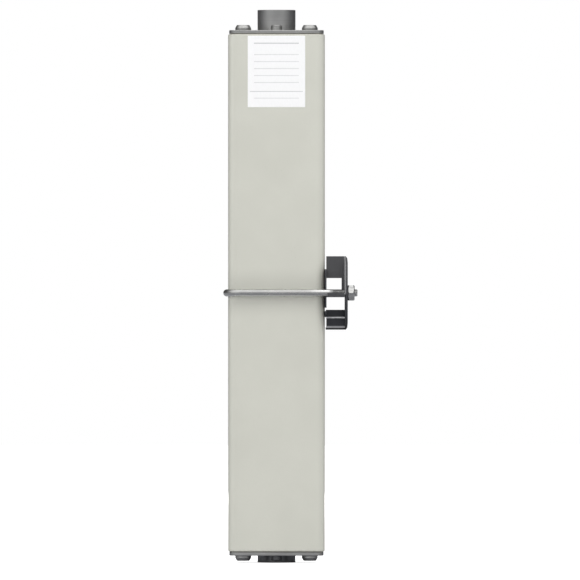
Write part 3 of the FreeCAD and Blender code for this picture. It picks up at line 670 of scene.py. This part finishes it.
def plastic(tree):
    # black moulding compound with a fine spark-eroded grain and faint flow marks. It has painted shade low down, on the
    # foot and on the outer face, darkest on its lower rim, and painted highlights on two ledges and on the side rims of
    # the outer plate.
    look = holderLook
    place = tree.place()
    x, y, z = tree.axes(place)
    low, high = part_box("switch_holder")
    fade, thinFade = look["fade"], look["thinFade"]
    grain = tree.noise(place, look["grainScale"], rough=0.6)
    flow = tree.noise(tree.stretched(place, look["stretch"]), look["flowScale"], detail=2.0)
    body = tree.tint(tree.between(flow, *noiseRange), look["light"], look["shade"])
    body = tree.tint(tree.between(grain, *look["overlayRange"]) * look["overlayShare"], body, look["overlay"])
    # painted shade, darker low down
    lowDown = tree.between(z, low.z + look["darkTo"], low.z + look["darkFrom"])
    body = tree.tint(lowDown, body, look["dark"])

    plateStart = high.x - look["plateDepth"]
    outerStart = plateStart + look["rimHalf"]
    # painted shade on the outer face and on the foot
    outerFace = tree.between(x, outerStart, outerStart + fade)
    footEnd = low.x + look["footDepth"]
    foot = tree.between(x, footEnd + thinFade, footEnd)
    body = tree.tint((outerFace + foot) * look["outerDark"], body, look["dark"])
    # painted shade, darkest on the lower rim
    rimTop = low.z + look["endRim"]
    body = tree.tint(tree.between(z, rimTop + thinFade, rimTop), body, look["deep"])

    # painted highlights on two ledges and on the side rims of the outer plate, broken up by the grain
    highlight = 0.0
    for aboveEnd, halfHeight, weight in look["highlightLedges"]:
        onLedge = tree.between(abs(z - (low.z + aboveEnd)), halfHeight + thinFade, halfHeight)
        highlight = onLedge * tree.between(abs(y), *look["ledgeStart"]) * weight + highlight
    highlight = highlight * tree.between(x, plateStart, plateStart - fade)
    facing = tree.axes(tree.node("ShaderNodeTexCoord", output="Normal"))[1]
    rimStart = low.z + look["rimFrom"]
    rim = tree.between(abs(x - plateStart), look["rimHalf"] + thinFade, look["rimHalf"])
    rim = rim * tree.between(abs(facing), *look["rimFacing"]) * tree.between(z, rimStart, rimStart + mm)
    highlightGrain = tree.between(grain, *look["highlightGrainRange"], look["highlightGrainLow"], 1.0)
    body = tree.tint((highlight + rim * look["rimHighlight"]) * highlightGrain, body, look["highlight"])
    return {
        "Base Color": body,
        "Roughness": tree.between(grain, *noiseRange, look["roughLow"], look["roughHigh"]),
        "Specular IOR Level": 0.3,
        "Normal": tree.bump(grain, look["bump"], look["bumpHeight"]),
    }


holderLook = {
    "light": colour(78, 78, 80),
    "shade": colour(72, 72, 74),
    "stretch": (1.0, 0.3, 0.6),
    "flowScale": 90.0,
    "grainScale": 2400.0,
    # pale dust caught in the grain
    "overlay": colour(88, 88, 90),
    "overlayRange": (0.45, 0.75),
    "overlayShare": 0.35,
    "fade": 0.2 * mm,
    "thinFade": 0.1 * mm,
    # painted shade: darker low down, on the foot and on the outer face, darkest on the lower rim
    # heights above the lower end
    "dark": colour(50, 51, 55),
    "darkTo": 28.0 * mm,
    "darkFrom": 10.0 * mm,
    "deep": colour(24, 24, 26),
    "endRim": 1.05 * mm,
    # the outer plate and the foot, along X
    "plateDepth": 1.7 * mm,
    "footDepth": 1.1 * mm,
    "outerDark": 0.5,
    # painted highlights on two ledges and on the side rims of the outer plate
    "highlight": colour(236, 236, 238),
    "highlightLedges": [
        # distance above the lower end, half height, strength
        (7.66 * mm, 0.38 * mm, 1.0),
        (1.7 * mm, 0.57 * mm, 0.36),
    ],
    "ledgeStart": (23.5 * mm, 23.8 * mm),
    "rimHalf": 0.55 * mm,
    "rimFrom": 21.8 * mm,
    "rimFacing": (0.2, 0.4),
    "rimHighlight": 0.27,
    "highlightGrainRange": (0.2, 0.45),
    "highlightGrainLow": 0.8,
    "roughLow": 0.36,
    "roughHigh": 0.48,
    "bump": 0.12,
    "bumpHeight": 0.05 * mm,
}


def sand(tree):
    # grains of quartz with darker patches
    look = sandLook
    place = tree.place()
    grains = tree.cells(place, look["grainScale"])
    cloud = tree.noise(place, look["cloudScale"])
    body = tree.tint(tree.between(grains, *look["grainRange"]), look["light"], look["shade"])
    body = tree.tint(tree.between(cloud, *look["darkRange"]) * look["darkShare"], body, look["dark"])
    return {
        "Base Color": body,
        "Roughness": tree.between(cloud, *noiseRange, look["roughLow"], look["roughHigh"]),
        "Normal": tree.bump(grains, look["bump"], look["bumpHeight"]),
    }


sandLook = {
    "light": colour(226, 216, 196),
    "shade": colour(198, 184, 158),
    "dark": colour(150, 136, 116),
    "grainScale": 1600.0,
    "grainRange": (0.1, 0.8),
    "cloudScale": 640.0,
    "darkRange": (0.5, 0.7),
    "darkShare": 0.5,
    "roughLow": 0.6,
    "roughHigh": 0.9,
    "bump": 0.6,
    "bumpHeight": 0.2 * mm,
}

finishes = {
    "ceramic": newFinish("glazedCeramic", ceramic),
    "plate": newFinish("stampedPlate", metalLook(plateLook)),
    "contact": newFinish("turnedContact", turnedMetal(contactLook)),
    "shadedContact": newFinish("shadedContact", turnedMetal(shadedContactLook)),
    "shadedPlate": newFinish("shadedPlate", metalLook(shadedPlateLook)),
    "screw": newFinish("platedScrew", metalLook(screwLook)),
    "gasket": newFinish("pressedFibre", fibre),
    "label": newFinish("ruledLabel", paper),
    "copper": newFinish("copperPlate", metalLook(copperLook)),
    "silver": newFinish("silverStrip", metalLook(silverLook)),
    "sand": newFinish("quartzSand", sand),
    "sleeve": newFinish("brassSleeve", metalLook(sleeveLook)),
    "striker": newFinish("platedStriker", metalLook(strikerLook)),
    "spring": newFinish("springWire", metalLook(springLook)),
    "rod": newFinish("platedRod", threadedMetal(rodLook)),
    "nut": newFinish("platedNut", metalLook(nutLook)),
    "holder": newFinish("blackMoulding", plastic),
}
print("finishes made:", len(finishes))


# hoop rod

hoopRodSizes = {
    "radius": 2.25 * mm,
    "bendRadius": 8.5 * mm,
    "threadFrom": 35.0 * mm,
    "pitch": 0.8 * mm,
    "depth": 0.24 * mm,
    "runOut": 1.2 * mm,
    "endChamfer": 0.4 * mm,
    "rowsPerPitch": 12,
    "rowsPerBend": 28,
    "rowsPerStraight": 14,
    "sides": 48,
}


def hoopRod(sizes):
    # the middle line is a leg, a quarter turn, a side in the groove of the ceramic wall, a quarter turn and a leg, all
    # level. Each ring's radius is the rod's, less the thread's depth times its wave of (distance / pitch - turn), and
    # no more than the end chamfer's.
    low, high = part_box("hoop_rod")
    radius, bend, threadFrom = sizes["radius"], sizes["bendRadius"], sizes["threadFrom"]
    rodLine = high.y - radius
    level = (high.z + low.z) / 2
    straightY = rodLine - bend
    sideX = low.x + radius
    bendX = sideX + bend
    threadRows = int((high.x - threadFrom) / sizes["pitch"] * sizes["rowsPerPitch"])
    legX = np.concatenate([
        np.linspace(high.x, threadFrom, threadRows, endpoint=False),
        np.linspace(threadFrom, bendX, sizes["rowsPerStraight"], endpoint=False),
    ])
    bendTurns = np.linspace(0, np.pi / 2, sizes["rowsPerBend"])
    firstX = bendX - bend * np.sin(bendTurns)
    firstY = -straightY - bend * np.cos(bendTurns)
    sideY = np.linspace(-straightY, straightY, sizes["rowsPerStraight"])[1:-1]
    xs = np.concatenate([legX, firstX, np.full(len(sideY), sideX), firstX[::-1], legX[::-1]])
    ys = np.concatenate([np.full(len(legX), -rodLine), firstY, sideY, -firstY[::-1], np.full(len(legX), rodLine)])
    centres = np.stack([xs, ys, np.full(len(xs), level)], axis=-1)
    lengths = np.linalg.norm(np.diff(centres, axis=0), axis=1)
    along = np.concatenate([[0], np.cumsum(lengths)])
    tangents = np.gradient(centres, along, axis=0)
    tangents /= np.linalg.norm(tangents, axis=1)[:, None]
    upward = np.tile([0.0, 0.0, 1.0], (len(xs), 1))
    sideways = np.cross(upward, tangents)
    turns = ringTurns(sizes["sides"])
    threaded = smoothRise(xs, threadFrom, threadFrom + sizes["runOut"])
    wave = threadWave(along[:, None] / sizes["pitch"] - turns / (2 * np.pi))
    fromEnd = np.minimum(along, along[-1] - along)
    chamfered = radius - np.clip(sizes["endChamfer"] - fromEnd, 0, None)
    radii = np.minimum(radius - sizes["depth"] * threaded[:, None] * wave, chamfered[:, None])
    rings = ringsAlong(centres, sideways, upward, radii)
    rod = addPiece("hoopRod", [gridMesh(rings)], "fuse_body", "hoop_rod")
    rod.data.materials.append(finishes["rod"])


hoopRod(hoopRodSizes)
print("hoop rod made")


# clamp nuts

clampNutSizes = {
    "acrossFlats": 9.6 * mm,
    "boreRadius": 2.3 * mm,
    "boreChamfer": 0.3 * mm,
    "faceRadius": 4.2 * mm,
    "chamferSlope": 0.65,
    "chamferReach": 1.2 * mm,
    "chamferRows": 9,
    "middleRows": 5,
    "sides": 96,
    "sharpAngle": 22.0,
}


def clampNut(name, node, body, sizes):
    # rings go up the bore, out over one face, along the outside and back over the other face. Outside, the radius is
    # the hexagon's, but no more than that of the two cones that start on the faces.
    low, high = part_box(node)
    thickness = high.x - low.x
    reach = sizes["chamferReach"]
    nearFace = np.linspace(0, reach, sizes["chamferRows"])
    between = np.linspace(reach, thickness - reach, sizes["middleRows"])[1:-1]
    outsideX = np.concatenate([nearFace, between, thickness - nearFace[::-1]])
    hexagon = hexagonRadius(ringTurns(sizes["sides"]), sizes["acrossFlats"])
    fromFace = np.minimum(outsideX, thickness - outsideX)
    cone = sizes["faceRadius"] + fromFace / sizes["chamferSlope"]
    outside = np.minimum(hexagon[None, :], cone[:, None])
    bore, chamfer = sizes["boreRadius"], sizes["boreChamfer"]
    boreX = np.array([thickness, thickness - chamfer, chamfer, 0.0])
    boreRadii = np.array([bore + chamfer, bore, bore, bore + chamfer])
    boreRings = np.repeat(boreRadii[:, None], sizes["sides"], axis=1)
    heights = np.concatenate([outsideX, boreX])
    radii = np.concatenate([outside, boreRings])
    middle = (low + high) / 2
    rings = straightRings((low.x, middle.y, middle.z), (1, 0, 0), (0, 1, 0), heights, radii)
    nut = addPiece(name, [gridMesh(rings, joined=True)], body, node, sizes["sharpAngle"])
    nut.data.materials.append(finishes["nut"])


clampNut("frontNut", "front_clamp_nut", "front_nut", clampNutSizes)
clampNut("rearNut", "rear_clamp_nut", "rear_nut", clampNutSizes)
print("clamp nuts made")


# cover screws

coverScrewSizes = {
    "shankRadius": 2.45 * mm,
    "shankLength": 14.0 * mm,
    "tipChamfer": 0.3 * mm,
    "underHead": 0.02 * mm,
    "headRadius": 5.0 * mm,
    "headRim": 1.5 * mm,
    "headTopRadius": 3.9 * mm,
    "headHeight": 3.3 * mm,
    "rimRound": 0.3 * mm,
    "rimBlend": 0.4,
    "topRound": 0.6 * mm,
    "topBlend": 0.5,
    "socketFlats": 3.0 * mm,
    "socketDepth": 2.0 * mm,
    "socketMouth": 1.22,
    "mouthDepth": 0.15 * mm,
    "drillDepth": 0.2 * mm,
    "pitch": 0.8 * mm,
    "depth": 0.4 * mm,
    "runOut": (-1.6 * mm, -0.4 * mm),
    "rowsPerPitch": 8,
    "sides": 48,
    "turnsAtCorners": (0.21, 0.82, 1.36, 0.55),
}


def arcProfile(radius, height, roundRadius, startTurn, endTurn, count):
    # points of a profile on an arc: centre + round * (cos, sin) of the turns between the two
    turns = np.linspace(startTurn, endTurn, count)
    return radius + roundRadius * np.cos(turns), height + roundRadius * np.sin(turns)


def screwProfile(sizes):
    # (radius, height above the seat, share of hexagon, share of thread) from the tip up to the head and into the socket
    length, shank, tip = sizes["shankLength"], sizes["shankRadius"], sizes["tipChamfer"]
    threadRows = int(length / sizes["pitch"] * sizes["rowsPerPitch"])
    shankHeights = np.linspace(-length + tip, -sizes["underHead"], threadRows)
    fade = 1 - smoothRise(shankHeights, *sizes["runOut"])
    head, rim, top, height = sizes["headRadius"], sizes["headRim"], sizes["headTopRadius"], sizes["headHeight"]
    edge, crown = sizes["rimRound"], sizes["topRound"]
    outward = np.pi / 2 - math.atan2(height - rim, head - top)
    arcs = [
        arcProfile(head - edge, edge, edge, -np.pi / 2, 0, 5),
        arcProfile(head - edge, rim - edge * sizes["rimBlend"], edge, 0, outward, 5),
        arcProfile(top - crown * sizes["topBlend"], height - crown, crown, outward, np.pi / 2, 7),
    ]
    socket = sizes["socketFlats"] / 2
    floor = height - sizes["socketDepth"]
    rows = [(shank - tip, -length, 0, 0)]
    rows += [(shank, h, 0, f) for h, f in zip(shankHeights, fade)]
    rows += [(shank, 0.0, 0, 0)]
    for arcRadii, arcHeights in arcs:
        rows += [(r, h, 0, 0) for r, h in zip(arcRadii, arcHeights)]
    rows += [
        (socket * sizes["socketMouth"], height, 0, 0),
        (socket, height - sizes["mouthDepth"], 1, 0),
        (socket, floor, 1, 0),
        (socket / 2, floor - sizes["drillDepth"], 0, 0),
    ]
    return np.array(rows)


def coverScrews(name, node, upwards, sizes):
    # each ring's radius: the profile's, blended to the hexagon's in the socket, less the thread's wave on the shank
    low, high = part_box(node)
    seat = high.z - sizes["headHeight"] if upwards else low.z + sizes["headHeight"]
    line = high.x - sizes["headRadius"]
    radius, height, hexShare, threadShare = screwProfile(sizes).T
    turns = ringTurns(sizes["sides"])
    # as a share of the profile's radius, so 2 across flats
    hexagon = hexagonRadius(turns, 2.0)
    wave = threadWave(height[:, None] / sizes["pitch"] - turns / (2 * np.pi))
    radii = radius[:, None] * (1 + hexShare[:, None] * (hexagon - 1)) - sizes["depth"] * threadShare[:, None] * wave
    axis = (0, 0, 1 if upwards else -1)
    corners = ((line, line), (-line, line), (-line, -line), (line, -line))
    parts = []
    for corner, turned in zip(corners, sizes["turnsAtCorners"]):
        sideways = (math.cos(turned), math.sin(turned), 0)
        parts.append(gridMesh(straightRings((*corner, seat), axis, sideways, height, radii)))
    screws = addPiece(name, parts, "fuse_body", node)
    screws.data.materials.append(finishes["screw"])


coverScrews("topScrews", "top_cover_screws", True, coverScrewSizes)
coverScrews("bottomScrews", "bottom_cover_screws", False, coverScrewSizes)
print("cover screws made")


# round contacts

contactSizes = {
    "radius": 12.0 * mm,
    "flangeRadius": 17.0 * mm,
    "flangeThickness": 5.0 * mm,
    "flangeChamfer": 0.3 * mm,
    "edgeRound": 0.2 * mm,
    "edgeBand": 2.0 * mm,
    "boreRadius": 4.25 * mm,
    "boreDepth": 8.0 * mm,
    "drillTip": 1.2 * mm,
    "mouth": 0.8 * mm,
    "mouthBand": 0.1 * mm,
    "pitch": 1.5 * mm,
    "depth": 0.7 * mm,
    "runOut": (0.8 * mm, 2.4 * mm),
    "rowsPerPitch": 12,
    "sides": 96,
}


def contactPost(name, node, upwards, sizes):
    # rings go from the bore's floor up its thread, over the end face, down the side and over the flange
    low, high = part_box(node)
    full = high.z - low.z
    radius, bore, mouth = sizes["radius"], sizes["boreRadius"], sizes["mouth"]
    floor = full - sizes["boreDepth"]
    boreRows = int(sizes["boreDepth"] / sizes["pitch"] * sizes["rowsPerPitch"])
    boreHeights = np.linspace(floor, full, boreRows)
    fade = smoothRise(boreHeights - floor, *sizes["runOut"])
    turns = ringTurns(sizes["sides"])
    wave = 1 - threadWave(boreHeights[:, None] / sizes["pitch"] - turns / (2 * np.pi))
    cut = bore + sizes["depth"] * fade[:, None] * wave
    funnel = bore + mouth - (full - boreHeights)
    edge, band = sizes["edgeRound"], sizes["edgeBand"]
    edgeRadii, edgeHeights = arcProfile(radius - edge, full - edge, edge, np.pi / 2, 0, 6)
    flange, thick, chamfer = sizes["flangeRadius"], sizes["flangeThickness"], sizes["flangeChamfer"]
    outer = np.array([
        (bore + mouth + sizes["mouthBand"], full),
        (radius - band, full),
        *zip(edgeRadii, edgeHeights),
        (radius, full - band),
        (radius, thick),
        (flange - chamfer, thick),
        (flange, thick - chamfer),
        (flange, chamfer),
        (flange - chamfer, 0.0),
    ])
    heights = np.concatenate([[floor - sizes["drillTip"]], boreHeights, outer[:, 1]])
    radii = np.concatenate([
        np.full((1, sizes["sides"]), bore / 2),
        np.maximum(cut, funnel[:, None]),
        np.repeat(outer[:, :1], sizes["sides"], axis=1),
    ])
    start, axis = ((0, 0, low.z), (0, 0, 1)) if upwards else ((0, 0, high.z), (0, 0, -1))
    rings = straightRings(start, axis, (1, 0, 0), heights, radii)
    post = addPiece(name, [gridMesh(rings)], "fuse_body", node)
    # the lower contact gets painted shade
    post.data.materials.append(finishes["contact" if upwards else "shadedContact"])


contactPost("topPost", "top_contact", True, contactSizes)
contactPost("bottomPost", "bottom_contact", False, contactSizes)
print("round contacts made")


# moulding, plates and the nodes that stay

roundedEdges = {
    "holder": 0.22 * mm,
    "plate": 0.45 * mm,
}

holderCuts = {
    # how far a cutter reaches past the solid
    "past": 1.0 * mm,
    "rodClearance": 0.15 * mm,
    "footDepth": 1.6 * mm,
    "footEnd": 33.3 * mm,
    "footCorner": 2.4 * mm,
    "footHalfHeight": 16.1 * mm,
    "taper": [
        # distance in from the plate's end, and how far its outer face lies back there
        (-0.5 * mm, 1.6 * mm),
        (0.0, 1.15 * mm),
        (1.4 * mm, 0.25 * mm),
        (4.2 * mm, 0.0),
    ],
}


def footCuts(sizes):
    # the foot's rod holes are open to the outside, and the foot ends level with the rod, with cut corners
    low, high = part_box("switch_holder")
    rodLow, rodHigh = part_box("hoop_rod")
    level = (rodLow.z + rodHigh.z) / 2
    rodRadius = (rodHigh.z - rodLow.z) / 2
    half = rodRadius + sizes["rodClearance"]
    line = rodHigh.y - rodRadius
    back, front = low.x - sizes["past"], low.x + sizes["footDepth"]
    end, corner, top = sizes["footEnd"], sizes["footCorner"], sizes["footHalfHeight"]
    pastEnd, pastTop = end + sizes["past"], top + sizes["past"]
    outside = high.y + sizes["past"]
    cuts = []
    for side in (1, -1):
        slot = [(side * y, level + z) for y in (line, outside) for z in (-half, half)]
        tip = [(side * y, level + z) for y in (end, outside) for z in (-pastTop, pastTop)]
        cuts += [prism(slot, back, front, 0), prism(tip, back, front, 0)]
        for upwards in (1, -1):
            edge = [
                (end - corner, top),
                (end, top - corner),
                (pastEnd, top - corner),
                (pastEnd, pastTop),
                (end - corner, pastTop),
            ]
            cuts.append(prism([(side * y, level + upwards * z) for y, z in edge], back, front, 0))
    return cuts


def taperCuts(sizes):
    # the outer plate gets thinner towards its upper and lower end, in the steps of the table
    low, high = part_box("switch_holder")
    past = sizes["past"]
    cuts = []
    for end, inwards in ((high.z, -1), (low.z, 1)):
        steps = [(high.x - back, end + inwards * distance) for distance, back in sizes["taper"]]
        for (nearX, nearZ), (farX, farZ) in zip(steps[:-1], steps[1:]):
            outline = [(nearX, nearZ), (farX, farZ), (high.x + past, farZ), (high.x + past, nearZ)]
            cuts.append(prism(outline, low.y - past, high.y + past, 1))
    return cuts


holderPiece = addRoundedCopy(
    "switchHolder", "switch_holder", "fuse_body", roundedEdges["holder"],
    footCuts(holderCuts) + taperCuts(holderCuts))
holderPiece.data.materials.append(finishes["holder"])
for end in ("top", "bottom"):
    plate = addRoundedCopy(
        f"{end}Plate", f"{end}_end_plate", "fuse_body", roundedEdges["plate"], clamped=False)
    plate.data.materials.append(finishes["plate"])

keptNodes = {
    "ceramic_body": "ceramic",
    "bottom_gasket": "gasket",
    "top_gasket": "gasket",
    # the lower plug gets painted shade
    "bottom_fill_plug": "shadedPlate",
    "top_fill_plug": "plate",
    "bottom_element_plate": "copper",
    "top_element_plate": "copper",
    "sand_fill": "sand",
    "indicator_sleeve": "sleeve",
    "indicator_cap": "sleeve",
    "striker_pin": "striker",
    "striker_spring": "spring",
    "restraining_wire": "spring",
    "rating_label": "label",
    **{name: "silver" for name in nodes if name.startswith("fuse_element")},
}
for name, finish in keptNodes.items():
    if not nodes[name].material_slots:
        nodes[name].data.materials.append(finishes[finish])
    for materialSlot in nodes[name].material_slots:
        materialSlot.material = finishes[finish]
print("nodes dressed:", len(keptNodes))


# floor, light and camera

studio = {
    "floorHalf": 6.0,
    "floorLevel": -0.2 * mm,
    "floorScale": 4.0,
    "floorLight": colour(250, 250, 250),
    "floorShade": colour(244, 244, 244),
    "floorGlow": 0.85,
    "floorBounce": colour(150, 151, 155),
    "base": 0.07,
    "lobes": [
        # a direction on the horizon, and the strength of the soft light from there
        (-0.656, -0.755, 0.75),
        (0.53, -0.848, 0.57),
    ],
    "lobePower": 4.0,
    "above": 1.25,
    "aboveRange": (0.3, 0.95),
    "frontRange": (0.5, 0.0),
    "softboxSize": 1.2,
    "softboxes": [
        ("keyLight", 14.2, (-0.9, -1.9, 1.9)),
        ("fillLight", 19.5, (0.6, -2.4, 0.15)),
        ("rightLight", 16.0, (2.2, -0.5, 0.4)),
        ("leftLight", 13.0, (-2.2, -0.5, 0.4)),
        ("backLight", 42.0, (-0.7, 2.5, 0.8)),
    ],
    "target": (0.0, 0.0, 0.17),
}


def addFloor():
    half, level = studio["floorHalf"], studio["floorLevel"]
    mesh = bpy.data.meshes.new("floor")
    corners = [(-half, -half, level), (half, -half, level), (half, half, level), (-half, half, level)]
    mesh.from_pydata(corners, [], [(0, 1, 2, 3)])
    floor = bpy.data.objects.new("floor", mesh)
    bpy.context.scene.collection.objects.link(floor)

    # pale to the camera, with a trace of shadow, and dim in what it throws back at the object
    material = bpy.data.materials.new("paleFloor")
    material.use_nodes = True
    tree = NodeSet(material.node_tree)
    cloud = tree.noise(tree.place(), studio["floorScale"], detail=2.0)
    pale = tree.tint(cloud, studio["floorLight"], studio["floorShade"])
    glow = tree.node("ShaderNodeEmission", inputs={"Color": pale, "Strength": studio["floorGlow"]})
    matt = tree.node("ShaderNodeBsdfDiffuse", inputs={"Color": pale})
    bright = tree.node("ShaderNodeAddShader", inputs={0: glow, 1: matt})
    dim = tree.node("ShaderNodeBsdfDiffuse", inputs={"Color": studio["floorBounce"]})
    seen = tree.node("ShaderNodeLightPath", output="Is Camera Ray")
    mixed = tree.node("ShaderNodeMixShader", inputs={0: seen, 1: dim, 2: bright})
    tree.node("ShaderNodeOutputMaterial", inputs={"Surface": mixed})
    mesh.materials.append(material)


def addWorld():
    # soft light from above and from both sides of the camera, dim behind, on a plain white ground
    world = bpy.data.worlds.new("studio")
    world.use_nodes = True
    bpy.context.scene.world = world
    tree = NodeSet(world.node_tree)
    x, y, z = tree.axes(tree.node("ShaderNodeTexCoord", output="Generated"))
    glow = studio["base"]
    for toX, toY, strength in studio["lobes"]:
        # how far a direction leans towards the lobe's, raised to a power
        lean = tree.node("ShaderNodeMath", {"operation": "MAXIMUM"}, {0: x * toX + y * toY, 1: 0.0})
        glow = glow + lean ** studio["lobePower"] * strength
    glow = glow + tree.between(z, *studio["aboveRange"]) * tree.between(y, *studio["frontRange"]) * studio["above"]
    soft = tree.node("ShaderNodeBackground", inputs={"Color": (1, 1, 1, 1), "Strength": glow})
    plain = tree.node("ShaderNodeBackground", inputs={"Color": (1, 1, 1, 1), "Strength": 1.0})
    seen = tree.node("ShaderNodeLightPath", output="Is Camera Ray")
    mixed = tree.node("ShaderNodeMixShader", inputs={0: seen, 1: soft, 2: plain})
    tree.node("ShaderNodeOutputWorld", inputs={"Surface": mixed})


def addSoftbox(name, power, place):
    # a square light turned to the target, which only its light shows
    lamp = bpy.data.lights.new(name, "AREA")
    lamp.energy = power
    lamp.size = studio["softboxSize"]
    softbox = bpy.data.objects.new(name, lamp)
    bpy.context.scene.collection.objects.link(softbox)
    reach = np.array(studio["target"]) - np.array(place)
    softbox.location = place
    across = math.hypot(reach[0], reach[1])
    softbox.rotation_euler = (math.pi / 2 + math.atan2(reach[2], across), 0, math.atan2(-reach[0], reach[1]))
    softbox.visible_glossy = False
    softbox.visible_camera = False


cameraSizes = {
    "place": (8.53 * mm, -8000.0 * mm, 172.15 * mm),
    "sensor": 36.0,
    "lens": 785.3,
    "clipStart": 0.05,
    "clipEnd": 50.0,
}


def addCamera():
    lens = bpy.data.cameras.new("photoView")
    lens.sensor_width = cameraSizes["sensor"]
    lens.lens = cameraSizes["lens"]
    lens.clip_start = cameraSizes["clipStart"]
    lens.clip_end = cameraSizes["clipEnd"]
    camera = bpy.data.objects.new("photoView", lens)
    bpy.context.scene.collection.objects.link(camera)
    camera.location = cameraSizes["place"]
    camera.rotation_euler = (math.pi / 2, 0, 0)
    bpy.context.scene.camera = camera


addFloor()
addWorld()
for name, power, place in studio["softboxes"]:
    addSoftbox(name, power, place)
addCamera()
bpy.context.scene.view_settings.view_transform = "Standard"
bpy.context.scene.view_settings.look = "None"
print("floor, light and camera made")
